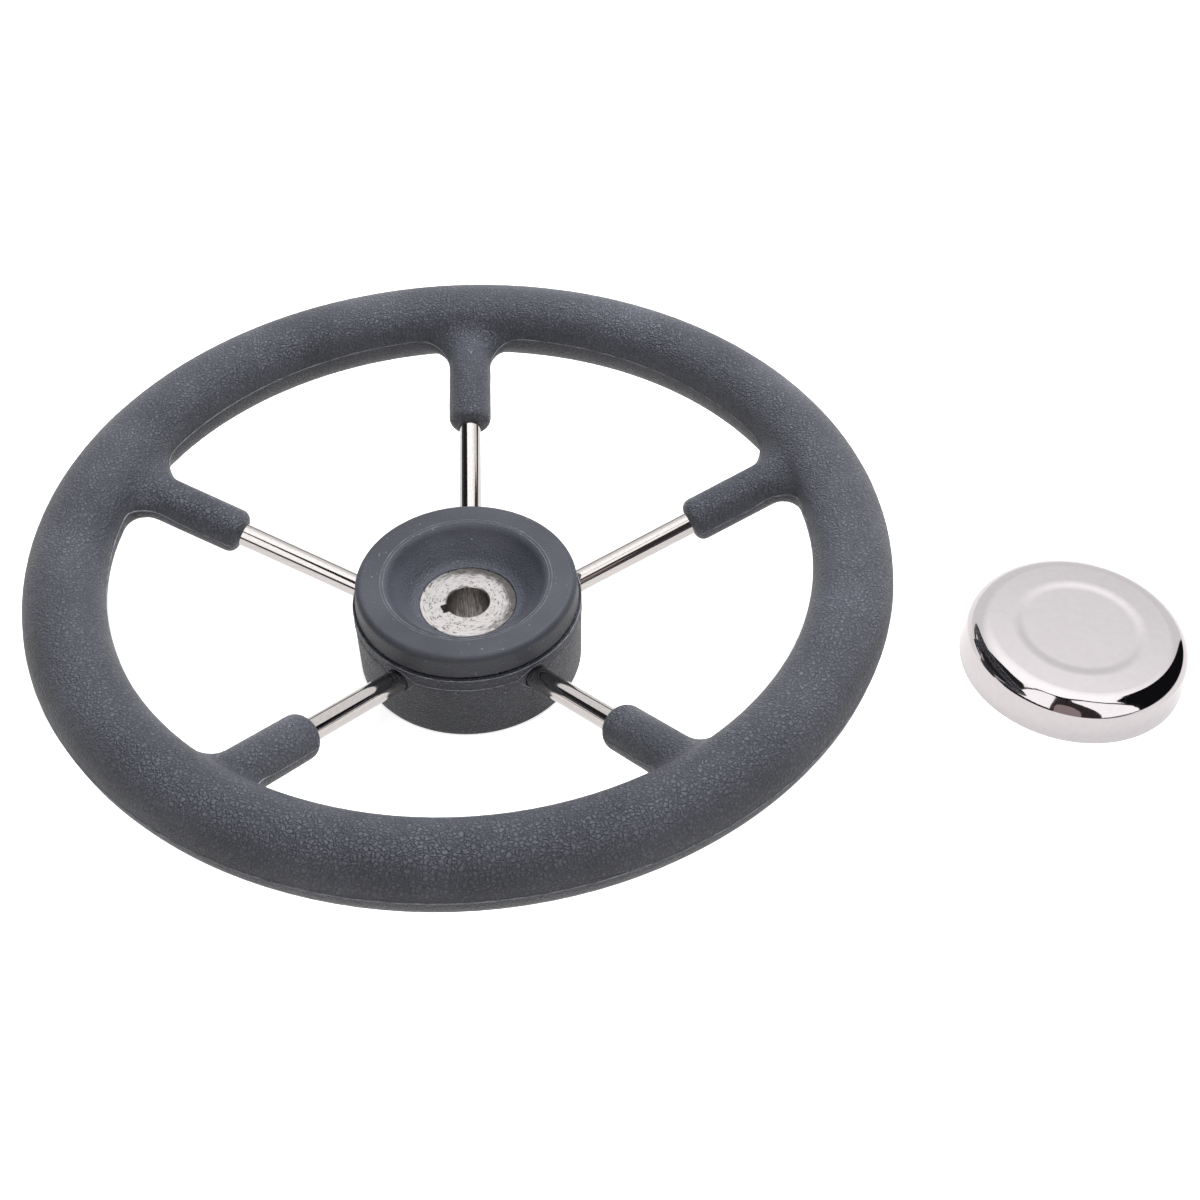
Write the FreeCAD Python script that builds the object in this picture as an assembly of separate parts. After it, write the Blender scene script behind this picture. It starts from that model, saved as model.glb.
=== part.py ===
import FreeCAD, Part
import math
import os

# A five-spoke boat steering wheel with a foam-covered rim and hub, lying on the back of its hub,
# and its pressed centre cap, taken off and laid beside it.
# Millimetres. The origin is the centre of the hub's back face, +Z runs up the steering shaft
# and +Y lies over spoke 1.

# Rim: a foam grip moulded round a steel bar that is bent to a ring
wheel_diameter = 343.0
grip_diameter = 31.3
rim_height = 64.0            # hub's back to the middle of the rim
rim_bar_diameter = 12.0

# Spokes: straight bars that rise from the hub to the rim
spoke_count = 5
first_spoke_angle = 90.0
spoke_diameter = 9.5
spoke_exit_height = 26.2     # spoke's axis where it leaves the hub's side
spoke_socket_depth = 6.0     # how far a spoke is set into the boss
spoke_notch_depth = 2.5      # how far a spoke's end laps round the rim bar

# Sleeves: the grip's foam runs down each spoke
sleeve_diameter = 18.6
sleeve_reach = 56.5          # middle of the rim to the sleeve's end, seen from above
sleeve_end_rounding = 4.2
sleeve_blend = 11.5          # fillet between a sleeve and the rim

# Boss: turned metal, with a tapered and keyed hole for the steering shaft
boss_diameter = 40.8
boss_height = 31.3
boss_chamfer = 0.5
bore_front_diameter = 17.8
bore_taper = 1.0 / 12.0      # diameter gained for each millimetre towards the back
bore_chamfer = 0.5
key_width = 4.76
key_depth = 2.6              # from the bore's wall to the floor of the keyway
key_angle = 202.0

# Hub cover: foam moulded round the boss, with a ring on top that the cap pushes over
hub_diameter = 94.8
hub_draft = 0.3              # the body's radius is this much less at its back
hub_back_rounding = 2.5
hub_step_height = 34.2       # the cap's edge comes down to here
hub_step_rounding = 0.4
groove_height = 0.7
groove_depth = 1.4
ring_diameter = 92.8
ring_draft = 0.9             # the ring's radius is this much less at its top, as the cap's skirt leans
ring_height = 11.0           # above the step
ring_top_rounding = 3.0
ring_base_rounding = 0.5
lip_diameter = 66.4          # where the ring's top would meet the dish's wall, unrounded
lip_rounding = 5.0
dish_floor_diameter = 47.0   # where the dish's wall would meet its floor, unrounded
dish_floor_rise = 1.7        # that corner's height above the boss
dish_rounding = 8.0
spoke_hole_clearance = 0.25  # foam shrinks back from the spokes

# Cap: pressed sheet, open below, that lies on the floor beside the wheel
cap_wall = 0.7
cap_fit_clearance = 0.1      # cap's inside over the hub's ring
cap_height = 19.9
cap_land = 1.0               # straight edge at the mouth
cap_skirt_height = 13.5
cap_skirt_lean = 1.4         # the skirt's radius is this much less at its top
cap_crease_rounding = 0.6
cap_shoulder_width = 2.5     # where the shoulder and the dome would meet, unrounded
cap_shoulder_rounding = 9.6
cap_dome_rise = 0.4
cap_recess_diameter = 54.0
cap_recess_slope = 3.2
cap_recess_depth = 0.4
cap_recess_rounding = 16.0
cap_place_x = 257.0
cap_place_y = -13.3

# Worked out from the sizes above
ring_radius = (wheel_diameter - grip_diameter) / 2
boss_radius = boss_diameter / 2
hub_radius = hub_diameter / 2
ring_base_radius = ring_diameter / 2
hub_height = hub_step_height + ring_height
spoke_rise = rim_height - spoke_exit_height
spoke_slope = math.atan2(spoke_rise, ring_radius - hub_radius)
spoke_axis_height = spoke_exit_height - hub_radius * math.tan(spoke_slope)

origin = FreeCAD.Vector(0, 0, 0)
shaft_axis = FreeCAD.Vector(0, 0, 1)


def rounded_edges(corners, closed):
    # Straight runs and tangent arcs through corners given as (radius, height, rounding)
    points = [FreeCAD.Vector(radius, 0, height) for radius, height, rounding in corners]
    last = len(corners) - 1
    edges = []
    starts = []
    ends = []
    for index, here in enumerate(points):
        rounding = corners[index][2]
        if rounding == 0 or (not closed and index in (0, last)):
            starts.append(here)
            ends.append(here)
            continue
        back = (points[index - 1] - here).normalize()
        ahead = (points[(index + 1) % len(points)] - here).normalize()
        half_angle = back.getAngle(ahead) / 2
        set_back = rounding / math.tan(half_angle)
        bulge = rounding / math.sin(half_angle) - rounding
        middle = here + (back + ahead).normalize() * bulge
        starts.append(here + back * set_back)
        ends.append(here + ahead * set_back)
        edges.append(Part.Arc(starts[-1], middle, ends[-1]).toShape())
    runs = last + 1 if closed else last
    for index in range(runs):
        edges.append(Part.makeLine(ends[index], starts[(index + 1) % len(points)]))
    return Part.Wire(Part.__sortEdges__(edges))


def turned(corners):
    # A solid turned about the shaft's axis
    return Part.Face(rounded_edges(corners, True)).revolve(origin, shaft_axis, 360)


def turned_sheet(corners, wall):
    # A sheet of even thickness, whose outside follows the corners from its mouth to its middle
    section = rounded_edges(corners, False).makeOffset2D(wall, 0, True, True)
    return section.revolve(origin, shaft_axis, 360)


def spoke_angles():
    return [first_spoke_angle + 360.0 * index / spoke_count for index in range(spoke_count)]


def along_spoke(shape, angle):
    # Lays a shape that stands on the shaft's axis along the axis of the spoke at this angle
    lean = FreeCAD.Rotation(FreeCAD.Vector(0, 1, 0), 90 - math.degrees(spoke_slope))
    turn = FreeCAD.Rotation(shaft_axis, angle)
    shape.Placement = FreeCAD.Placement(shaft_axis * spoke_axis_height, turn.multiply(lean))
    return shape


def spoke_distance(radius):
    # Distance along a spoke of the point at this radius from the shaft
    return radius / math.cos(spoke_slope)


def rim_ring(section_diameter):
    # A ring of round section on the rim's centre line
    return Part.makeTorus(ring_radius, section_diameter / 2, shaft_axis * rim_height, shaft_axis)


def spoke_bar(diameter, inner_radius, outer_radius, angle):
    # A straight bar on a spoke's axis between two radii from the shaft
    start = spoke_distance(inner_radius)
    length = spoke_distance(outer_radius) - start
    return along_spoke(Part.makeCylinder(diameter / 2, length, shaft_axis * start), angle)


def spoke(angle, rim_bar):
    # The rim end is notched to sit against the rim bar
    inner = boss_radius - spoke_socket_depth
    outer = ring_radius - rim_bar_diameter / 2 + spoke_notch_depth
    return spoke_bar(spoke_diameter, inner, outer, angle).cut(rim_bar).Solids[0]


def grip_sleeve(angle):
    # A plain round sleeve with a rounded end, from the middle of the rim towards the hub
    end = spoke_distance(ring_radius - sleeve_reach)
    root = spoke_distance(ring_radius)
    radius = sleeve_diameter / 2
    corners = [
        (0, end, 0),
        (radius, end, sleeve_end_rounding),
        (radius, root, 0),
        (0, root, 0),
    ]
    return along_spoke(turned(corners), angle)


def grip_outside():
    # The ring and its sleeves, with the seams between them blended
    sleeves = [grip_sleeve(angle) for angle in spoke_angles()]
    body = rim_ring(grip_diameter).fuse(sleeves)
    seams = [edge for edge in body.Edges if not isinstance(edge.Curve, (Part.Circle, Part.Line))]
    return body.makeFillet(sleeve_blend, seams)


def rim_grip(rim_bar, spokes):
    # One foam moulding, hollow where the bar and the spokes lie in it
    return grip_outside().cut([rim_bar] + spokes).Solids[0]


def shaft_bore():
    # The tapered hole, with a bevel at each mouth
    front = bore_front_diameter / 2
    back = front + boss_height * bore_taper / 2
    bore = Part.makeCone(back, front, boss_height)
    front_bevel = Part.makeCone(front, front + bore_chamfer, bore_chamfer)
    front_bevel.translate(shaft_axis * (boss_height - bore_chamfer))
    back_bevel = Part.makeCone(back + bore_chamfer, back, bore_chamfer)
    return bore.fuse([front_bevel, back_bevel])


def keyway():
    # A straight slot in the bore's wall that follows the taper
    half_taper = math.degrees(math.atan(bore_taper / 2))
    floor_radius = bore_front_diameter / 2 + key_depth
    slot = Part.makeBox(floor_radius, key_width, 3 * boss_height)
    slot.translate(FreeCAD.Vector(0, -key_width / 2, -boss_height))
    slot.rotate(FreeCAD.Vector(floor_radius, 0, boss_height), FreeCAD.Vector(0, 1, 0), -half_taper)
    slot.rotate(origin, shaft_axis, key_angle)
    return slot


def hub_boss(spokes):
    corners = [
        (0, 0, 0),
        (boss_radius, 0, 0),
        (boss_radius, boss_height - boss_chamfer, 0),
        (boss_radius - boss_chamfer, boss_height, 0),
        (0, boss_height, 0),
    ]
    return turned(corners).cut([shaft_bore(), keyway()] + spokes).Solids[0]


def hub_cover():
    # Body, groove, ring, lip and dish in one outline, less the holes that the spokes leave by
    groove_top = hub_step_height + groove_height
    corners = [
        (boss_radius, 0, 0),
        (hub_radius - hub_draft, 0, hub_back_rounding),
        (hub_radius, spoke_exit_height, 0),
        (hub_radius, hub_step_height, hub_step_rounding),
        (ring_base_radius - groove_depth, hub_step_height, 0),
        (ring_base_radius - groove_depth, groove_top, 0),
        (ring_base_radius, groove_top, ring_base_rounding),
        (ring_base_radius - ring_draft, hub_height, ring_top_rounding),
        (lip_diameter / 2, hub_height, lip_rounding),
        (dish_floor_diameter / 2, boss_height + dish_floor_rise, dish_rounding),
        (boss_radius, boss_height, 0),
    ]
    hole_diameter = spoke_diameter + 2 * spoke_hole_clearance
    holes = [spoke_bar(hole_diameter, 0, 2 * hub_radius, angle) for angle in spoke_angles()]
    boss_space = Part.makeCylinder(boss_radius, hub_height)
    return turned(corners).cut([hole.cut(boss_space) for hole in holes]).Solids[0]


def centre_cap():
    # Mouth, leaning skirt, crease, rounded shoulder, low dome and shallow round recess
    mouth = ring_base_radius + cap_fit_clearance + cap_wall
    crease = mouth - cap_skirt_lean
    recess = cap_recess_diameter / 2
    floor = cap_height - cap_recess_depth
    corners = [
        (mouth, 0, 0),
        (mouth, cap_land, 0),
        (crease, cap_skirt_height, cap_crease_rounding),
        (crease - cap_shoulder_width, cap_height - cap_dome_rise, cap_shoulder_rounding),
        (recess, cap_height, cap_recess_rounding),
        (recess - cap_recess_slope, floor, cap_recess_rounding),
        (0, floor, 0),
    ]
    cap = turned_sheet(corners, cap_wall)
    cap.translate(FreeCAD.Vector(cap_place_x, cap_place_y, 0))
    return cap


def build():
    rim_bar = rim_ring(rim_bar_diameter)
    spokes = [spoke(angle, rim_bar) for angle in spoke_angles()]
    pieces = {
        "rim_grip": rim_grip(rim_bar, spokes),
        "rim_core": rim_bar,
        "hub_boss": hub_boss(spokes),
        "hub_cover": hub_cover(),
        "centre_cap": centre_cap(),
    }
    for number, bar in enumerate(spokes, start=1):
        pieces["spoke_%d" % number] = bar
    return pieces


os.makedirs("parts", exist_ok=True)
for name, piece in build().items():
    piece.exportStep("parts/%s.step" % name)
    print("%-12s %10.0f mm3  valid %s  solids %d" % (name, piece.Volume, piece.isValid(), len(piece.Solids)))
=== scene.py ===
import math

import bpy
from mathutils import Matrix, Vector, noise
from mathutils.bvhtree import BVHTree


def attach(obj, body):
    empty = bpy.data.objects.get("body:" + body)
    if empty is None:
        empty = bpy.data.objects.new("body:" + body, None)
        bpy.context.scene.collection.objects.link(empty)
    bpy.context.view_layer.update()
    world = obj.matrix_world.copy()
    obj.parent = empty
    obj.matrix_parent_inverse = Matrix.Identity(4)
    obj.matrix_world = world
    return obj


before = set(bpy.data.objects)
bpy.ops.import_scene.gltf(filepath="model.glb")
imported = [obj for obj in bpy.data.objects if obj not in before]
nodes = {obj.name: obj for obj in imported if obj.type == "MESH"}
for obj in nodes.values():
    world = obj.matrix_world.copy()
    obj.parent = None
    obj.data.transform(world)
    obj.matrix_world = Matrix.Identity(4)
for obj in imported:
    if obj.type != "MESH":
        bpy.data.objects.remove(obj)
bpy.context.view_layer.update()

mm = 0.001
print("frame: loaded", len(nodes), "pieces")


def toLinear(hexColour):
    # sRGB hex to the linear RGBA that the shaders take
    parts = [int(hexColour[at:at + 2], 16) / 255 for at in (1, 3, 5)]
    return [part / 12.92 if part <= 0.04045 else ((part + 0.055) / 1.055) ** 2.4 for part in parts] + [1.0]


def addNode(tree, kind, settings=None, links=None):
    # settings are the node's own values or its input sockets, "stops" is a colour ramp's list,
    # and links give each input the node or the output that feeds it
    node = tree.nodes.new("ShaderNode" + kind)
    for key, value in (settings or {}).items():
        if key == "stops":
            ramp = node.color_ramp
            while len(ramp.elements) < len(value):
                ramp.elements.new(0.5)
            for element, (position, hexColour) in zip(ramp.elements, value):
                element.position = position
                element.color = toLinear(hexColour)
        elif isinstance(key, int) or key in node.inputs:
            node.inputs[key].default_value = value
        else:
            setattr(node, key, value)
    for key, source in (links or {}).items():
        tree.links.new(getattr(source, "outputs", [source])[0], node.inputs[key])
    return node


def newMaterial(name):
    # an empty material with a Principled surface, and the place of each point in the wheel's own frame
    material = bpy.data.materials.new(name)
    material.use_nodes = True
    tree = material.node_tree
    tree.nodes.clear()
    surface = addNode(tree, "BsdfPrincipled")
    addNode(tree, "OutputMaterial", links={"Surface": surface})
    place = addNode(tree, "TexCoord").outputs["Object"]
    return material, tree, surface, place


def feed(tree, surface, links):
    for key, source in links.items():
        tree.links.new(getattr(source, "outputs", [source])[0], surface.inputs[key])


def fromShaft(tree, place):
    # each point's distance from the shaft's axis
    flat = addNode(tree, "VectorMath", {"operation": "MULTIPLY", 1: (1, 1, 0)}, {0: place})
    return addNode(tree, "VectorMath", {"operation": "LENGTH"}, {0: flat}).outputs["Value"]


# Foam: polyurethane integral skin foam, moulded against an etched tool. The skin is dull and
# slightly blue grey. The rim has fine wrinkles like leather that the light picks out where it
# grazes. The hub's side has a sandier grain, and its top was moulded against polished metal.
foam = {
    "ior": 1.49,
    "creaseRoughness": 0.53,
    "rubbedRoughness": 0.37,
    "driftMm": 1.6,
    "bend": 1.3,              # how far the drift bends the creases, in wrinkles
    "creaseWidth": 0.24,      # in wrinkles
    "creaseShade": 0.3,       # how much painted shade darkens the creases below the skin tone of the patches
    "pebbleHeight": 1.1,      # in wrinkles' heights
    "reliefStrength": 0.9,
    "patchMm": 42.0,
    "tones": (0.35, 0.68, 1.0),
    "speckSpacingMm": 11.0,
    "speckMm": 0.4,
    "speckFloor": 0.6,        # in specks' radii
    "speckDepth": 1.5,        # in wrinkles' heights
}
rimGrain = {
    # the creases' colour holds painted shade
    "crease": "#383a40",
    "skin": "#484a52",
    "rubbed": "#575963",
    "wrinkleMm": 1.55,
    "depthMm": 0.6,
    "pebbleMm": 0.95,
}
hubGrain = {
    # the creases' colour holds painted shade
    "crease": "#2f3137",
    "skin": "#3b3d45",
    "rubbed": "#484a53",
    "wrinkleMm": 1.5,
    "depthMm": 0.85,
    "pebbleMm": 1.25,
    # the tool was polished above this height and inside the dish, and what grain is left there fades
    "polishedAboveMm": 34.3,
    "dishMm": 40.0,
    "fadeMm": 12.0,
    "faintLow": 0.22,
    "faintHigh": 0.05,
    # painted light that pales the dish, full inside and fading out up to the lip
    "paintedDishLight": 0.36,
    "lipMm": 34.0,
    "paintedLightEdgeMm": 5.0,
    # pale crumbs of lint
    "lint": "#85878f",
    "lintMm": 0.3,
    "lintSpacingMm": 2.7,
    "lintBare": 0.3,          # share of the places that have no crumb
}


def etchedShare(tree, place, radius, grain):
    # 1 on the hub's etched side, and next to nothing where the tool was polished
    edge = grain["polishedAboveMm"] * mm
    height = addNode(tree, "SeparateXYZ", links={0: place}).outputs["Z"]
    faint = addNode(tree, "MapRange", {"From Min": edge, "From Max": edge + grain["fadeMm"] * mm,
                                       "To Min": grain["faintLow"], "To Max": grain["faintHigh"]},
                    {"Value": height})
    below = addNode(tree, "Math", {"operation": "LESS_THAN", 1: edge}, {0: height})
    outside = addNode(tree, "Math", {"operation": "GREATER_THAN", 1: grain["dishMm"] * mm}, {0: radius})
    side = addNode(tree, "Math", {"operation": "MULTIPLY"}, {0: below, 1: outside})
    return addNode(tree, "Math", {"operation": "MAXIMUM"}, {0: faint, 1: side})


def withPaintedDishLight(tree, shade, radius, grain):
    # pales the dish with painted light, fading out over the last millimetres before the lip
    lip = grain["lipMm"] * mm
    paintedDishLight = addNode(tree, "MapRange", {"From Min": lip - grain["paintedLightEdgeMm"] * mm, "From Max": lip,
                                      "To Min": grain["paintedDishLight"], "To Max": 0.0}, {"Value": radius})
    return addNode(tree, "Math", {"operation": "ADD"}, {0: shade, 1: paintedDishLight})


def withLint(tree, colour, bent, grain):
    # a crumb in most cells of a fine pattern, each of its own size
    grid = addNode(tree, "TexVoronoi", {"Scale": 1 / (grain["lintSpacingMm"] * mm)}, {"Vector": bent})
    rank = addNode(tree, "SeparateColor", links={0: grid.outputs["Color"]}).outputs["Red"]
    reach = addNode(tree, "MapRange", {"From Min": grain["lintBare"], "From Max": 1.0, "To Min": 0.0,
                                       "To Max": grain["lintMm"] / grain["lintSpacingMm"]}, {"Value": rank})
    crumb = addNode(tree, "Math", {"operation": "LESS_THAN"}, {0: grid.outputs["Distance"], 1: reach})
    return addNode(tree, "Mix", {"data_type": "RGBA", 7: toLinear(grain["lint"])},
                   {0: crumb, 6: colour}).outputs[2]


def mouldedFoam(name, grain):
    material, tree, surface, place = newMaterial(name)
    isHub = "polishedAboveMm" in grain
    drift = addNode(tree, "TexNoise", {"Scale": 1 / (foam["driftMm"] * mm), "Detail": 2.0},
                    {"Vector": place})
    bend = grain["wrinkleMm"] * mm * foam["bend"]
    bent = addNode(tree, "VectorMath", {"operation": "MULTIPLY_ADD", 1: (bend, bend, bend)},
                   {0: drift.outputs["Color"], 2: place})
    wrinkles = addNode(tree, "TexVoronoi", {"feature": "DISTANCE_TO_EDGE",
                                            "Scale": 1 / (grain["wrinkleMm"] * mm)}, {"Vector": bent})
    hills = addNode(tree, "MapRange", {"interpolation_type": "SMOOTHSTEP", "From Max": foam["creaseWidth"]},
                    {"Value": wrinkles})
    pebbles = addNode(tree, "TexNoise", {"Scale": 1 / (grain["pebbleMm"] * mm), "Detail": 3.0,
                                         "Roughness": 0.6}, {"Vector": place})
    etched = addNode(tree, "Math", {"operation": "MULTIPLY_ADD", 1: foam["pebbleHeight"]},
                     {0: pebbles, 2: hills})
    if isHub:
        radius = fromShaft(tree, place)
        share = etchedShare(tree, place, radius, grain)
        hills = addNode(tree, "Math", {"operation": "MULTIPLY"}, {0: hills, 1: share})
        etched = addNode(tree, "Math", {"operation": "MULTIPLY"}, {0: etched, 1: share})
    # trapped bubbles leave a few open specks in the skin
    cells = addNode(tree, "TexVoronoi", {"Scale": 1 / (foam["speckSpacingMm"] * mm)}, {"Vector": place})
    speck = foam["speckMm"] / foam["speckSpacingMm"]
    specks = addNode(tree, "MapRange", {"From Min": speck * foam["speckFloor"], "From Max": speck},
                     {"Value": cells.outputs["Distance"]})
    pitted = addNode(tree, "Math", {"operation": "MULTIPLY_ADD", 1: foam["speckDepth"]},
                     {0: specks, 2: etched})
    bump = addNode(tree, "Bump", {"Strength": foam["reliefStrength"], "Distance": grain["depthMm"] * mm},
                   {"Height": pitted})
    # colour: painted shade in the creases, lighter where the skin is rubbed, in soft patches
    patches = addNode(tree, "TexNoise", {"Scale": 1 / (foam["patchMm"] * mm), "Detail": 4.0},
                      {"Vector": place})
    shade = addNode(tree, "Math", {"operation": "MULTIPLY_ADD", 1: foam["creaseShade"]},
                    {0: hills, 2: patches})
    # on the hub, painted light pales the dish
    if isHub:
        shade = withPaintedDishLight(tree, shade, radius, grain)
    stops = list(zip(foam["tones"], (grain["crease"], grain["skin"], grain["rubbed"])))
    colour = addNode(tree, "ValToRGB", {"stops": stops}, {0: shade}).outputs["Color"]
    if isHub:
        colour = withLint(tree, colour, bent, grain)
    dull = addNode(tree, "MapRange", {"To Min": foam["creaseRoughness"], "To Max": foam["rubbedRoughness"]},
                   {"Value": shade})
    surface.inputs["IOR"].default_value = foam["ior"]
    feed(tree, surface, {"Base Color": colour, "Roughness": dull, "Normal": bump})
    return material


# Spokes: cold-drawn stainless bar, mirror polished along its length. It shows the room as bands
# that run along the bar, with faint draw lines in them.
bar = {
    "steel": "#cfcac8",
    "shade": "#c2bdbb",
    "roughnessLow": 0.042,
    "roughnessHigh": 0.105,
    "lineMm": 0.5,
    "lineLengthMm": 60.0,
    "lineDepthMm": 0.004,
    "lineStrength": 0.4,
    "spokes": 5,
}


def polishedBar(name):
    material, tree, surface, place = newMaterial(name)
    axes = addNode(tree, "SeparateXYZ", links={0: place})
    # the angle wraps round from spoke to spoke, so that all five get the same lines
    turn = addNode(tree, "Math", {"operation": "ARCTAN2"}, {0: axes.outputs["X"], 1: axes.outputs["Y"]})
    half = math.pi / bar["spokes"]
    local = addNode(tree, "Math", {"operation": "WRAP", 1: half, 2: -half}, {0: turn})
    reach = fromShaft(tree, place)
    sideways = addNode(tree, "Math", {"operation": "MULTIPLY"}, {0: reach, 1: local})
    ahead = addNode(tree, "Math", {"operation": "MULTIPLY", 1: bar["lineMm"] / bar["lineLengthMm"]},
                    {0: reach})
    lengthwise = addNode(tree, "CombineXYZ", links={"X": sideways, "Y": ahead, "Z": axes.outputs["Z"]})
    lines = addNode(tree, "TexNoise", {"Scale": 1 / (bar["lineMm"] * mm), "Detail": 3.0},
                    {"Vector": lengthwise})
    bump = addNode(tree, "Bump", {"Strength": bar["lineStrength"], "Distance": bar["lineDepthMm"] * mm},
                   {"Height": lines})
    tint = addNode(tree, "ValToRGB", {"stops": [(0.3, bar["shade"]), (0.7, bar["steel"])]}, {0: lines})
    haze = addNode(tree, "MapRange", {"To Min": bar["roughnessLow"], "To Max": bar["roughnessHigh"]},
                   {"Value": lines})
    surface.inputs["Metallic"].default_value = 1.0
    feed(tree, surface, {"Base Color": tint, "Roughness": haze, "Normal": bump})
    return material


# Cap: stainless sheet, pressed and buffed to a mirror. The buffing leaves the faintest
# unevenness, so straight reflections come out slightly wavy.
cap = {
    "steel": "#cac5c7",
    "shade": "#c6c1c3",
    "roughnessLow": 0.042,
    "roughnessHigh": 0.078,
    "waveMm": 22.0,
    "waveDepthMm": 0.03,
    "waveStrength": 0.5,
    "hazeMm": 3.0,
}


def buffedSheet(name):
    material, tree, surface, place = newMaterial(name)
    waves = addNode(tree, "TexNoise", {"Scale": 1 / (cap["waveMm"] * mm), "Detail": 1.0},
                    {"Vector": place})
    bump = addNode(tree, "Bump", {"Strength": cap["waveStrength"], "Distance": cap["waveDepthMm"] * mm},
                   {"Height": waves})
    clouds = addNode(tree, "TexNoise", {"Scale": 1 / (cap["hazeMm"] * mm), "Detail": 5.0, "Roughness": 0.6},
                     {"Vector": place})
    tint = addNode(tree, "ValToRGB", {"stops": [(0.3, cap["shade"]), (0.7, cap["steel"])]}, {0: clouds})
    haze = addNode(tree, "MapRange", {"To Min": cap["roughnessLow"], "To Max": cap["roughnessHigh"]},
                   {"Value": clouds})
    surface.inputs["Metallic"].default_value = 1.0
    feed(tree, surface, {"Base Color": tint, "Roughness": haze, "Normal": bump})
    return material


# Boss: faced steel, stained by the moulding. Turning marks run round the face, with dark pits
# and an outer band that is darker and duller towards one side, and the reamed bore has marks along the
# shaft.
boss = {
    "bright": "#c6c2c1",
    "worn": "#a4a1a0",
    "stain": "#6a6665",
    "pit": "#262322",
    "boreLight": "#a09b97",
    "boreDark": "#5e5855",
    "metallic": 0.9,
    "stainRoughness": 0.56,
    "brightRoughness": 0.29,
    "reliefMm": 0.05,
    "reliefStrength": 0.5,
    "turningMm": 0.75,
    "turningDegrees": 12.73,
    "blotchMm": 3.2,
    # the outer band, which is darker and duller on one side, and the way in the wheel's plane that this
    # side faces
    "bandFromMm": 14.5,
    "bandToMm": 18.5,
    "bandFaces": (0.8, 0.6, 0.0),
    "bandFadesMm": (-10.0, 16.0),
    "bandDark": 0.54,
    # dark arcs, where the marks are deeper than this
    "arcBelow": 0.41,
    "arcEdge": 0.03,
    "arcDark": 0.7,
    "pitSpacingMm": 1.7,
    "pitMm": 0.42,
    "pitJitterMm": 0.7,
    "pitDepth": 2.0,
    "pitBlotches": (0.35, 0.7),
    "boreMarkDegrees": 4.375,
    "boreMarkMm": 6.94,
}


def perDegrees(degrees):
    # what turns an angle in radians into steps of so many degrees
    return 180 / math.pi / degrees


def bossFaceTone(tree, place, radius, marks, mottle):
    # how bright each place on the face is: mottled, darker in the outer band on one side, and dark along
    # the deepest marks
    band = addNode(tree, "MapRange", {"interpolation_type": "SMOOTHSTEP",
                                      "From Min": boss["bandFromMm"] * mm,
                                      "From Max": boss["bandToMm"] * mm}, {"Value": radius})
    ahead = addNode(tree, "VectorMath", {"operation": "DOT_PRODUCT", 1: boss["bandFaces"]}, {0: place})
    fadeFrom, fadeTo = boss["bandFadesMm"]
    faced = addNode(tree, "MapRange", {"From Min": fadeFrom * mm, "From Max": fadeTo * mm},
                    {"Value": ahead.outputs["Value"]})
    dulled = addNode(tree, "Math", {"operation": "MULTIPLY"}, {0: band, 1: faced})
    bandedMottle = addNode(tree, "Math", {"operation": "MULTIPLY_ADD", 1: -boss["bandDark"]},
                      {0: dulled, 2: mottle})
    arcs = addNode(tree, "MapRange", {"From Min": boss["arcBelow"] - boss["arcEdge"],
                                      "From Max": boss["arcBelow"],
                                      "To Min": -boss["arcDark"], "To Max": 0.0}, {"Value": marks})
    return addNode(tree, "Math", {"operation": "ADD"}, {0: bandedMottle, 1: arcs})


def boreWall(tree, axes, turn):
    # the reamer's marks, spaced by angle and long down the bore
    streaks = addNode(tree, "Math", {"operation": "MULTIPLY", 1: perDegrees(boss["boreMarkDegrees"])},
                      {0: turn})
    along = addNode(tree, "Math", {"operation": "MULTIPLY", 1: 1 / (boss["boreMarkMm"] * mm)},
                    {0: axes.outputs["Z"]})
    reamed = addNode(tree, "CombineXYZ", links={"X": streaks, "Y": along})
    scores = addNode(tree, "TexNoise", {"Scale": 1.0, "Detail": 5.0, "Roughness": 0.65},
                     {"Vector": reamed})
    return addNode(tree, "ValToRGB", {"stops": [(0.38, boss["boreDark"]), (0.66, boss["boreLight"])]},
                   {0: scores})


def bossPits(tree, place, blotches):
    # 0 in the pits, which lie one in each cell of a coarse pattern, where the mottling is dark
    jitter = boss["pitJitterMm"] * mm
    shake = addNode(tree, "TexNoise", {"Scale": 1 / jitter}, {"Vector": place})
    ragged = addNode(tree, "VectorMath", {"operation": "MULTIPLY_ADD", 1: (jitter, jitter, jitter)},
                     {0: shake.outputs["Color"], 2: place})
    cells = addNode(tree, "TexVoronoi", {"Scale": 1 / (boss["pitSpacingMm"] * mm)}, {"Vector": ragged})
    darkest, lightest = boss["pitBlotches"]
    pitSize = addNode(tree, "MapRange", {"From Min": darkest, "From Max": lightest,
                                         "To Min": boss["pitMm"] / boss["pitSpacingMm"], "To Max": 0.0},
                      {"Value": blotches})
    return addNode(tree, "Math", {"operation": "GREATER_THAN"},
                   {0: cells.outputs["Distance"], 1: pitSize})


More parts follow.
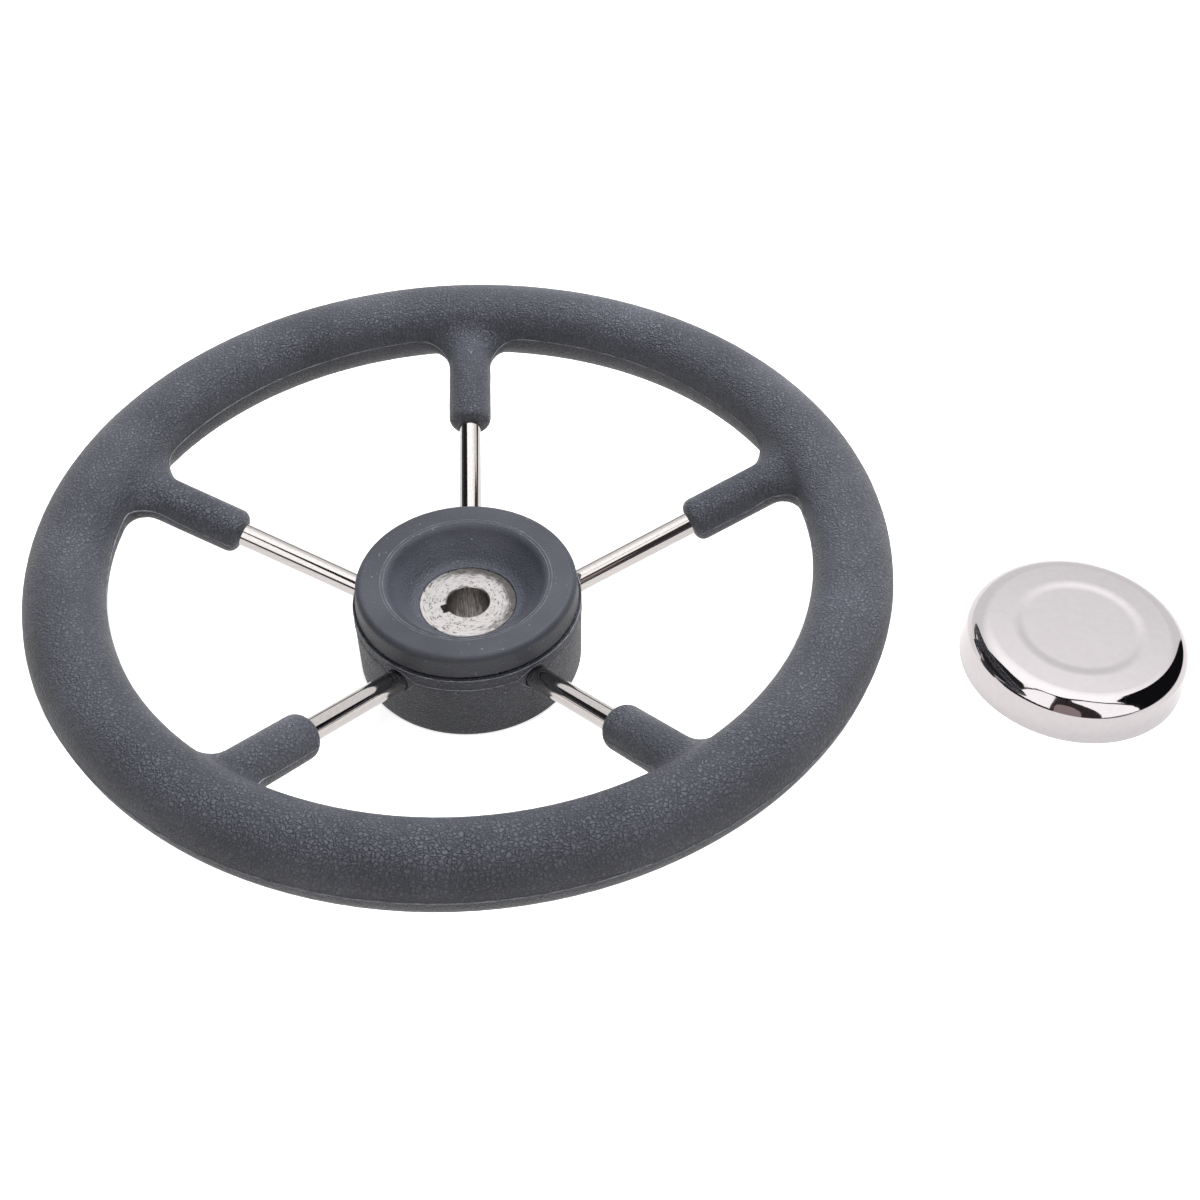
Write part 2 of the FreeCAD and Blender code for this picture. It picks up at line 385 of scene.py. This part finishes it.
def facedSteel(name):
    material, tree, surface, place = newMaterial(name)
    axes = addNode(tree, "SeparateXYZ", links={0: place})
    turn = addNode(tree, "Math", {"operation": "ARCTAN2"}, {0: axes.outputs["Y"], 1: axes.outputs["X"]})
    radius = fromShaft(tree, place)
    rings = addNode(tree, "Math", {"operation": "MULTIPLY", 1: 1 / (boss["turningMm"] * mm)},
                    {0: radius})
    around = addNode(tree, "Math", {"operation": "MULTIPLY", 1: perDegrees(boss["turningDegrees"])},
                     {0: turn})
    turned = addNode(tree, "CombineXYZ", links={"X": rings, "Y": around})
    marks = addNode(tree, "TexNoise", {"Scale": 1.0, "Detail": 4.0, "Roughness": 0.7},
                    {"Vector": turned})
    blotches = addNode(tree, "TexNoise", {"Scale": 1 / (boss["blotchMm"] * mm), "Detail": 8.0,
                                          "Roughness": 0.72}, {"Vector": place})
    mottle = addNode(tree, "Math", {"operation": "ADD"}, {0: blotches, 1: marks})
    faceTone = bossFaceTone(tree, place, radius, marks, mottle)
    face = addNode(tree, "ValToRGB", {"stops": [(0.56, boss["stain"]), (0.84, boss["worn"]),
                                                (0.99, boss["bright"])]}, {0: faceTone})
    outward = addNode(tree, "NewGeometry").outputs["Normal"]
    upward = addNode(tree, "SeparateXYZ", links={0: outward}).outputs["Z"]
    onFace = addNode(tree, "MapRange", {"From Min": 0.3, "From Max": 0.6}, {"Value": upward})
    both = addNode(tree, "Mix", {"data_type": "RGBA"},
                   {0: onFace, 6: boreWall(tree, axes, turn), 7: face})
    solid = bossPits(tree, place, blotches)
    pitted = addNode(tree, "Mix", {"data_type": "RGBA", 6: toLinear(boss["pit"])},
                     {0: solid, 7: both.outputs[2]})
    relief = addNode(tree, "Math", {"operation": "MULTIPLY_ADD", 1: boss["pitDepth"]},
                     {0: solid, 2: mottle})
    bump = addNode(tree, "Bump", {"Strength": boss["reliefStrength"], "Distance": boss["reliefMm"] * mm},
                   {"Height": relief})
    haze = addNode(tree, "MapRange", {"From Min": 0.4, "From Max": 1.1, "To Min": boss["stainRoughness"],
                                      "To Max": boss["brightRoughness"]}, {"Value": faceTone})
    surface.inputs["Metallic"].default_value = boss["metallic"]
    feed(tree, surface, {"Base Color": pitted.outputs[2], "Roughness": haze, "Normal": bump})
    return material


# Rim bar: stainless bar as drawn, sealed inside the grip
core = {"steel": "#b5b2b0", "drawn": "#979492", "roughness": 0.4, "scaleMm": 2.5, "reliefMm": 0.02}


def drawnBar(name):
    material, tree, surface, place = newMaterial(name)
    clouds = addNode(tree, "TexNoise", {"Scale": 1 / (core["scaleMm"] * mm), "Detail": 6.0},
                     {"Vector": place})
    tint = addNode(tree, "ValToRGB", {"stops": [(0.35, core["drawn"]), (0.65, core["steel"])]},
                   {0: clouds})
    bump = addNode(tree, "Bump", {"Strength": 0.3, "Distance": core["reliefMm"] * mm},
                   {"Height": clouds})
    surface.inputs["Metallic"].default_value = 1.0
    surface.inputs["Roughness"].default_value = core["roughness"]
    feed(tree, surface, {"Base Color": tint, "Normal": bump})
    return material


# Torn foam: the grip's foam where it was torn and trimmed along the mould's edge. It has no skin
# there, and its paler colour is partly its own and partly a painted highlight, so it shows as an uneven
# thread.
torn = {
    # the paler colour is partly the torn foam's own and partly a painted highlight
    "paleAndHighlit": "#888a91",
    "dark": "#62646c",
    "roughness": 0.75,
    "ior": 1.49,
    "patchMm": 4.0,
    "crumbMm": 0.5,
    "crumbDepthMm": 0.1,
    "crumbStrength": 0.5,
}


def tornFoam(name):
    material, tree, surface, place = newMaterial(name)
    patches = addNode(tree, "TexNoise", {"Scale": 1 / (torn["patchMm"] * mm), "Detail": 4.0},
                      {"Vector": place})
    crumbs = addNode(tree, "TexNoise", {"Scale": 1 / (torn["crumbMm"] * mm), "Detail": 2.0},
                     {"Vector": place})
    tint = addNode(tree, "ValToRGB", {"stops": [(0.36, torn["dark"]), (0.62, torn["paleAndHighlit"])]},
                   {0: patches})
    bump = addNode(tree, "Bump", {"Strength": torn["crumbStrength"], "Distance": torn["crumbDepthMm"] * mm},
                   {"Height": crumbs})
    surface.inputs["IOR"].default_value = torn["ior"]
    surface.inputs["Roughness"].default_value = torn["roughness"]
    feed(tree, surface, {"Base Color": tint, "Normal": bump})
    return material


gripFoam = mouldedFoam("moulded polyurethane foam, leather grain", rimGrain)
hubFoam = mouldedFoam("moulded polyurethane foam, sand grain", hubGrain)
flashFoam = tornFoam("torn foam flash")
spokeSteel = polishedBar("mirror polished stainless bar")
finishes = {
    "rim_grip": gripFoam,
    "rim_core": drawnBar("drawn stainless bar"),
    "hub_cover": hubFoam,
    "hub_boss": facedSteel("faced and reamed steel"),
    "centre_cap": buffedSheet("buffed stainless sheet"),
}
for nodeName, thing in nodes.items():
    material = finishes.get(nodeName, spokeSteel)
    thing.data.materials.clear()
    thing.data.materials.append(material)
print("materials: on", len(nodes), "pieces")


# Flash: the thin ridge that the two halves of a mould leave where they meet, one round each
# window of the rim and one round its outside
flash = {
    "heightMm": 64.0,
    "innerMm": 140.2,
    "outerMm": 171.5,
    "firstSpoke": 90.0,
    "spokes": 5,
    "sleeveMm": 9.3,
    "sleeveFromMm": 101.0,
    "sleeveToMm": 121.0,
    "sleeveBaseMm": 9.7,
    "sleeveSlope": 19.2,
    # the bend from a sleeve to the ring: where it ends, and how far its ends run straight
    "bendDegrees": 11.0,
    "bendSteps": 18,
    "sleevePullMm": 12.0,
    "ringPull": 0.55,
    "widthMm": 0.75,
    "proudMm": 0.22,
    "stepMm": 1.5,
    "seedStep": 7.0,
    "outerSeed": 50.0,
}
ridge = {
    # the section as shares of half the width and of the height, its ends sunk in the skin
    "section": ((-1.0, -0.5), (-0.45, 0.75), (0.0, 1.0), (0.45, 0.75), (1.0, -0.5)),
    "height": 0.9,
    "heightWaver": 0.35,
    "heightWavesPerM": 160,
    "lowest": 0.05,
    "width": 0.8,
    "widthWaver": 0.5,
    "widthWavesPerM": 420,
}


def sweepRidge(name, path, ups, closed, widthMm, proudMm, seed):
    # a low ridge of uneven height that follows points on a surface, ups being the surface's normals
    count = len(path)
    points = []
    faces = []
    for at, (centre, up) in enumerate(zip(path, ups)):
        before = path[at - 1] if at or closed else path[at]
        after = path[(at + 1) % count] if at + 1 < count or closed else path[at]
        sideways = (after - before).normalized().cross(up).normalized()
        swell = noise.noise(centre * ridge["heightWavesPerM"] + Vector((seed, 0, 0)))
        fray = noise.noise(centre * ridge["widthWavesPerM"] + Vector((0, seed, 0)))
        high = max(ridge["height"] + ridge["heightWaver"] * swell, ridge["lowest"])
        wide = ridge["width"] + ridge["widthWaver"] * fray
        for across, rise in ridge["section"]:
            shift = sideways * across * widthMm * 0.5 * wide + up * rise * proudMm * high
            points.append(centre + shift * mm)
    rim = len(ridge["section"])
    for at in range(count if closed else count - 1):
        here, there = at * rim, (at + 1) % count * rim
        for side in range(rim):
            nextSide = (side + 1) % rim
            faces.append((here + side, here + nextSide, there + nextSide, there + side))
    if not closed:
        faces.append(tuple(range(rim)))
        faces.append(tuple(range((count - 1) * rim, count * rim))[::-1])
    mesh = bpy.data.meshes.new(name)
    mesh.from_pydata(points, [], faces)
    mesh.validate()
    mesh.shade_smooth()
    mesh.materials.append(flashFoam)
    thing = bpy.data.objects.new(name, mesh)
    bpy.context.scene.collection.objects.link(thing)
    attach(thing, "root")


def surfaceOf(nodeName):
    thing = nodes[nodeName]
    corners = [thing.matrix_world @ vertex.co for vertex in thing.data.vertices]
    return BVHTree.FromPolygons(corners, [tuple(face.vertices) for face in thing.data.polygons])


def sleevePoint(angle, alongMm, sideMm):
    # a point beside a spoke's axis: so far from the shaft, and so far to the spoke's left
    rise = flash["sleeveBaseMm"] + alongMm * math.tan(math.radians(flash["sleeveSlope"]))
    turn = Matrix.Rotation(math.radians(angle), 3, "Z")
    return turn @ Vector((alongMm, sideMm, rise)) * mm


def ringPoint(angle, radiusMm):
    turn = math.radians(angle)
    return Vector((radiusMm * math.cos(turn), radiusMm * math.sin(turn), flash["heightMm"])) * mm


def bezier(start, startPull, endPull, end, steps):
    for at in range(1, steps):
        part = at / steps
        rest = 1 - part
        yield (start * rest ** 3 + startPull * 3 * rest ** 2 * part
               + endPull * 3 * rest * part ** 2 + end * part ** 3)


def sleeveToRing(angle, side):
    # from the sleeve's end along its side, through the blend and on to the ring's inner middle
    steps = int((flash["sleeveToMm"] - flash["sleeveFromMm"]) / flash["stepMm"])
    for at in range(steps + 1):
        along = flash["sleeveFromMm"] + (flash["sleeveToMm"] - flash["sleeveFromMm"]) * at / steps
        yield sleevePoint(angle, along, side * flash["sleeveMm"])
    start = sleevePoint(angle, flash["sleeveToMm"], side * flash["sleeveMm"])
    pull = sleevePoint(angle, flash["sleeveToMm"] + flash["sleevePullMm"], side * flash["sleeveMm"])
    end = ringPoint(angle + side * flash["bendDegrees"], flash["innerMm"])
    endPull = ringPoint(angle + side * flash["bendDegrees"] * flash["ringPull"], flash["innerMm"])
    yield from bezier(start, pull, endPull, end, flash["bendSteps"])


def windowLine(angle):
    # the whole line round one window, from one sleeve's end to the next one's
    apart = 360 / flash["spokes"]
    first = list(sleeveToRing(angle, 1))
    second = list(sleeveToRing(angle + apart, -1))
    fromTurn, toTurn = angle + flash["bendDegrees"], angle + apart - flash["bendDegrees"]
    steps = int(math.radians(toTurn - fromTurn) * flash["innerMm"] / flash["stepMm"])
    middle = [ringPoint(fromTurn + (toTurn - fromTurn) * at / steps, flash["innerMm"])
              for at in range(steps + 1)]
    return first + middle + second[::-1]


gripTree = surfaceOf("rim_grip")
for number in range(flash["spokes"]):
    guess = windowLine(flash["firstSpoke"] + 360 / flash["spokes"] * number)
    hits = [gripTree.find_nearest(point) for point in guess]
    sweepRidge("rim_flash_%d" % (number + 1), [hit[0] for hit in hits], [hit[1] for hit in hits], False,
               flash["widthMm"], flash["proudMm"], number * flash["seedStep"])
steps = int(2 * math.pi * flash["outerMm"] / flash["stepMm"])
outerLine = [ringPoint(360 * at / steps, flash["outerMm"]) for at in range(steps)]
outward = [Vector((point.x, point.y, 0)).normalized() for point in outerLine]
sweepRidge("rim_flash_outer", outerLine, outward, True, flash["widthMm"], flash["proudMm"],
           flash["outerSeed"])
print("rim: flash lines swept")


# Hub's flash: one line round the top of its side, one that runs from spoke hole to spoke hole,
# where it opens to a pointed loop round each spoke, two fine lines at the lip, and three nicks
hubFlash = {
    "bodyMm": 47.4,
    "topMm": 33.95,
    "partingMm": 28.7,
    "exitMm": 26.2,
    "widthMm": 0.55,
    "proudMm": 0.2,
    "stepMm": 1.2,
    # a loop's half width and half height, and how blunt its arcs are
    "holeWidthMm": 8.6,
    "holeHeightMm": 6.4,
    "holeSteps": 16,
    "holeArc": 1.7,
    "lipMm": (35.3, 33.9),
    "lipHeightMm": 46.0,
    "lipSteps": 180,
    # nicks that stand up from the skin: degrees round the hub, height and length in mm
    "nicks": ((-95.6, 26.9, 1.7), (-71.0, 24.2, 1.1), (-103.0, 33.2, 1.2)),
    "nickTiltMm": 0.3,
    "nickParts": (-1, -0.4, 0.3, 1),
}
# how much of the full ridge each line has in width and height, and its own start in the noise
hubShares = {"top": 1.0, "parting": 1.0, "hole": 0.9, "lip": 0.45, "nick": 0.9}
hubSeeds = {"top": 3.0, "parting": 11.0, "hole": 31.0, "lip": 61.0, "nick": 71.0}


def hubPoint(turn, heightMm):
    return Vector((math.cos(turn) * hubFlash["bodyMm"], math.sin(turn) * hubFlash["bodyMm"], heightMm)) * mm


def hubArc(fromTurn, toTurn, heightMm):
    count = max(int(abs(toTurn - fromTurn) * hubFlash["bodyMm"] / hubFlash["stepMm"]), 2)
    return [hubPoint(fromTurn + (toTurn - fromTurn) * (at / count), heightMm) for at in range(count + 1)]


def holeLoop(angle):
    # a loop with pointed ends, over the hole and back under it
    halfTurn = hubFlash["holeWidthMm"] / hubFlash["bodyMm"]
    for side in (1, -1):
        for at in range(hubFlash["holeSteps"]):
            across = side * (1 - 2 * at / hubFlash["holeSteps"])
            tip = (hubFlash["partingMm"] - hubFlash["exitMm"]) * across ** 2
            rise = side * hubFlash["holeHeightMm"] * (1 - abs(across) ** hubFlash["holeArc"])
            yield hubPoint(math.radians(angle) + across * halfTurn, hubFlash["exitMm"] + tip + rise)


def lipCircle(radiusMm):
    count = hubFlash["lipSteps"]
    turns = [2 * math.pi * at / count for at in range(count)]
    return [Vector((radiusMm * math.cos(turn), radiusMm * math.sin(turn), hubFlash["lipHeightMm"])) * mm
            for turn in turns]


def nickLine(degrees, heightMm, longMm):
    half = longMm / hubFlash["bodyMm"] / 2
    turn = math.radians(degrees)
    return [hubPoint(turn + half * part, heightMm - hubFlash["nickTiltMm"] * part)
            for part in hubFlash["nickParts"]]


hubTree = surfaceOf("hub_cover")


def hubRidge(name, guess, closed, kind, number=0):
    hits = [hubTree.find_nearest(point) for point in guess]
    sweepRidge(name, [hit[0] for hit in hits], [hit[1] for hit in hits], closed,
               hubFlash["widthMm"] * hubShares[kind], hubFlash["proudMm"] * hubShares[kind],
               hubSeeds[kind] + number)


spokeApart = 360 / flash["spokes"]
holeHalf = math.degrees(hubFlash["holeWidthMm"] / hubFlash["bodyMm"])
hubRidge("hub_flash_top", hubArc(0, 2 * math.pi, hubFlash["topMm"])[:-1], True, "top")
for number in range(flash["spokes"]):
    angle = flash["firstSpoke"] + spokeApart * number
    fromTurn, toTurn = math.radians(angle + holeHalf), math.radians(angle + spokeApart - holeHalf)
    parting = hubArc(fromTurn, toTurn, hubFlash["partingMm"])
    hubRidge("hub_flash_%d" % (number + 1), parting, False, "parting", number)
    hubRidge("hub_hole_flash_%d" % (number + 1), holeLoop(angle), True, "hole", number)
for number, radius in enumerate(hubFlash["lipMm"]):
    hubRidge("hub_lip_line_%d" % (number + 1), lipCircle(radius), True, "lip", number)
for number, (degrees, heightMm, longMm) in enumerate(hubFlash["nicks"]):
    hubRidge("hub_nick_%d" % (number + 1), nickLine(degrees, heightMm, longMm), False, "nick", number)
print("hub: flash lines swept")


# Camera: solved from the rim, the hub and the sleeves in a frame of 1200 by 1200
shot = {
    "lens": 47.42,
    "sensor": 36.0,
    "nearest": 0.01,
    "place": (0.03444, -0.46611, 0.49919),
    "tilt": 44.844,
    "roll": 0.273,
    "heading": -2.54,
}
cameraData = bpy.data.cameras.new("camera")
cameraData.sensor_width = shot["sensor"]
cameraData.lens = shot["lens"]
cameraData.clip_start = shot["nearest"]
camera = bpy.data.objects.new("camera", cameraData)
turns = [Matrix.Rotation(math.radians(shot[name]), 4, axis)
         for name, axis in (("heading", "Z"), ("tilt", "X"), ("roll", "Z"))]
camera.matrix_world = Matrix.Translation(shot["place"]) @ turns[0] @ turns[1] @ turns[2]
bpy.context.scene.collection.objects.link(camera)
bpy.context.scene.camera = camera


# Studio: a pale floor, a white room with a brighter ceiling, and two broad soft lamps. The
# panels are what the polished metal shows of the room: dark walls, two white softboxes in front,
# and the camera's dark stand between them with a pale cloth on it.
studio = {
    "floorSize": 12.0,
    "floorColour": "#d3d2d0",
    "floorMirrored": "#6e6c6a",
    "floorLift": 0.8,
    "floorShine": 0.95,
    "roomLight": 0.1,
    "wallSeen": 1.0,
    "ceilingSeen": 1.75,
    "ceilingFrom": 33,
    "ceilingTo": 80,
    "centre": (0.13, 0.0, 0.03),
    "panelRows": 8,
    "panelColumns": 48,
}
lamps = {
    # name: place, size in metres and watts
    "backSoftbox": ((0.22, 0.62, 0.88), 0.6, 20.5),
    "frontSoftbox": ((0.24, -0.4, 1.5), 0.8, 18.5),
}
panels = {
    # name: azimuth from and to, elevation from and to, how square its top is, metres away,
    # colour and strength
    "rightWall": (-37, 30, 0.5, 60, 4, 1.9, "#151517", 1.0),
    "leftWall": (140, 212, 0.5, 62, 4, 1.9, "#2b2b2d", 1.0),
    "darkRoom": (-152, -33, 0.5, 77, 12, 1.9, "#1c1a1b", 1.0),
    "leftSoftbox": (-149, -98, 8, 73, 4, 1.8, "#ffffff", 1.6),
    "rightSoftbox": (-90, -38, 3, 72, 4, 1.8, "#ffffff", 1.6),
    "cameraStand": (-112, -67, 0.5, 71, 2.2, 0.86, "#3a3233", 1.0),
    "paleCloth": (-108, -84, 0.5, 40, 3, 0.84, "#a59494", 1.0),
}


def seenBy(tree, names):
    # 1 for the kinds of ray named, else 0
    path = addNode(tree, "LightPath")
    total = path.outputs[names[0]]
    for name in names[1:]:
        total = addNode(tree, "Math", {"operation": "MAXIMUM"}, {0: total, 1: path.outputs[name]})
    return total


def makeFloor():
    half = studio["floorSize"] / 2
    mesh = bpy.data.meshes.new("floor")
    corners = [(-half, -half, 0), (half, -half, 0), (half, half, 0), (-half, half, 0)]
    mesh.from_pydata(corners, [], [(0, 1, 2, 3)])
    material = bpy.data.materials.new("white paper sweep")
    material.use_nodes = True
    tree = material.node_tree
    tree.nodes.clear()
    seen = seenBy(tree, ["Is Camera Ray", "Is Transmission Ray"])
    inMetal = seenBy(tree, ["Is Glossy Ray"])
    paper = addNode(tree, "Mix", {"data_type": "RGBA", 6: toLinear(studio["floorColour"]),
                                  7: toLinear(studio["floorMirrored"])}, {0: inMetal})
    matt = addNode(tree, "BsdfDiffuse", links={"Color": paper.outputs[2]})
    mirrored = addNode(tree, "Math", {"operation": "MULTIPLY", 1: studio["floorShine"]}, {0: inMetal})
    lift = addNode(tree, "Math", {"operation": "MULTIPLY_ADD", 1: studio["floorLift"]},
                   {0: seen, 2: mirrored})
    glow = addNode(tree, "Emission", links={"Strength": lift})
    both = addNode(tree, "AddShader", links={0: matt, 1: glow})
    addNode(tree, "OutputMaterial", links={"Surface": both})
    mesh.materials.append(material)
    floor = bpy.data.objects.new("floor", mesh)
    bpy.context.scene.collection.objects.link(floor)


def makePanel(name, azimuths, elevations, square, distance, colour, strength):
    # a patch of a sphere round the stage with a rounded top, seen only in polished surfaces
    rows, columns = studio["panelRows"], studio["panelColumns"]
    points = []
    for row in range(rows + 1):
        for column in range(columns + 1):
            across = 2 * column / columns - 1
            top = (elevations[1] - elevations[0]) * (1 - abs(across) ** square) ** (1 / square)
            elevation = math.radians(elevations[0] + top * row / rows)
            azimuth = math.radians(azimuths[0] + (azimuths[1] - azimuths[0]) * column / columns)
            ray = Vector((math.cos(azimuth) * math.cos(elevation), math.sin(azimuth) * math.cos(elevation),
                          math.sin(elevation)))
            points.append(Vector(studio["centre"]) + ray * distance)
    faces = []
    for row in range(rows):
        for column in range(columns):
            corner = row * (columns + 1) + column
            faces.append((corner, corner + 1, corner + columns + 2, corner + columns + 1))
    mesh = bpy.data.meshes.new(name)
    mesh.from_pydata(points, [], faces)
    material = bpy.data.materials.new(name)
    material.use_nodes = True
    tree = material.node_tree
    tree.nodes.clear()
    glow = addNode(tree, "Emission", {"Color": toLinear(colour), "Strength": strength})
    addNode(tree, "OutputMaterial", links={"Surface": glow})
    mesh.materials.append(material)
    panel = bpy.data.objects.new(name, mesh)
    bpy.context.scene.collection.objects.link(panel)
    for kind in ("camera", "transmission", "volume_scatter", "shadow"):
        setattr(panel, "visible_" + kind, False)
    # the dark walls take light off the foam too, and the softboxes' own light comes from the lamps
    panel.visible_diffuse = strength <= 1.0


def makeRoom():
    world = bpy.data.worlds.new("white room")
    bpy.context.scene.world = world
    world.use_nodes = True
    tree = world.node_tree
    tree.nodes.clear()
    seen = seenBy(tree, ["Is Camera Ray", "Is Transmission Ray"])
    level = addNode(tree, "MapRange", {"To Min": studio["roomLight"], "To Max": 1.0}, {"Value": seen})
    # polished surfaces see a ceiling that is brighter than the walls
    ray = addNode(tree, "TexCoord").outputs["Generated"]
    height = addNode(tree, "SeparateXYZ", links={0: ray}).outputs["Z"]
    ceiling = addNode(tree, "MapRange", {"interpolation_type": "SMOOTHSTEP",
                                         "From Min": math.sin(math.radians(studio["ceilingFrom"])),
                                         "From Max": math.sin(math.radians(studio["ceilingTo"])),
                                         "To Min": studio["wallSeen"], "To Max": studio["ceilingSeen"]},
                      {"Value": height})
    mirrored = seenBy(tree, ["Is Glossy Ray"])
    strength = addNode(tree, "Mix", {"data_type": "FLOAT"}, {0: mirrored, 2: level, 3: ceiling})
    glow = addNode(tree, "Background", {"Color": (1, 1, 1, 1)}, {"Strength": strength})
    addNode(tree, "OutputWorld", links={"Surface": glow})


def makeLamp(name, place, size, watts):
    lampData = bpy.data.lights.new(name, "AREA")
    lampData.size = size
    lampData.energy = watts
    lamp = bpy.data.objects.new(name, lampData)
    lamp.location = place
    lamp.visible_glossy = False
    lamp.rotation_euler = (Vector(place) - Vector(studio["centre"])).to_track_quat("Z", "Y").to_euler()
    bpy.context.scene.collection.objects.link(lamp)


makeFloor()
makeRoom()
for lampName, (place, size, watts) in lamps.items():
    makeLamp(lampName, place, size, watts)
for panelName, (azFrom, azTo, elFrom, elTo, square, distance, colour, strength) in panels.items():
    makePanel(panelName, (azFrom, azTo), (elFrom, elTo), square, distance, colour, strength)
bpy.context.scene.view_settings.view_transform = "Standard"
print("studio: floor, room,", len(lamps), "lamps and", len(panels), "panels")
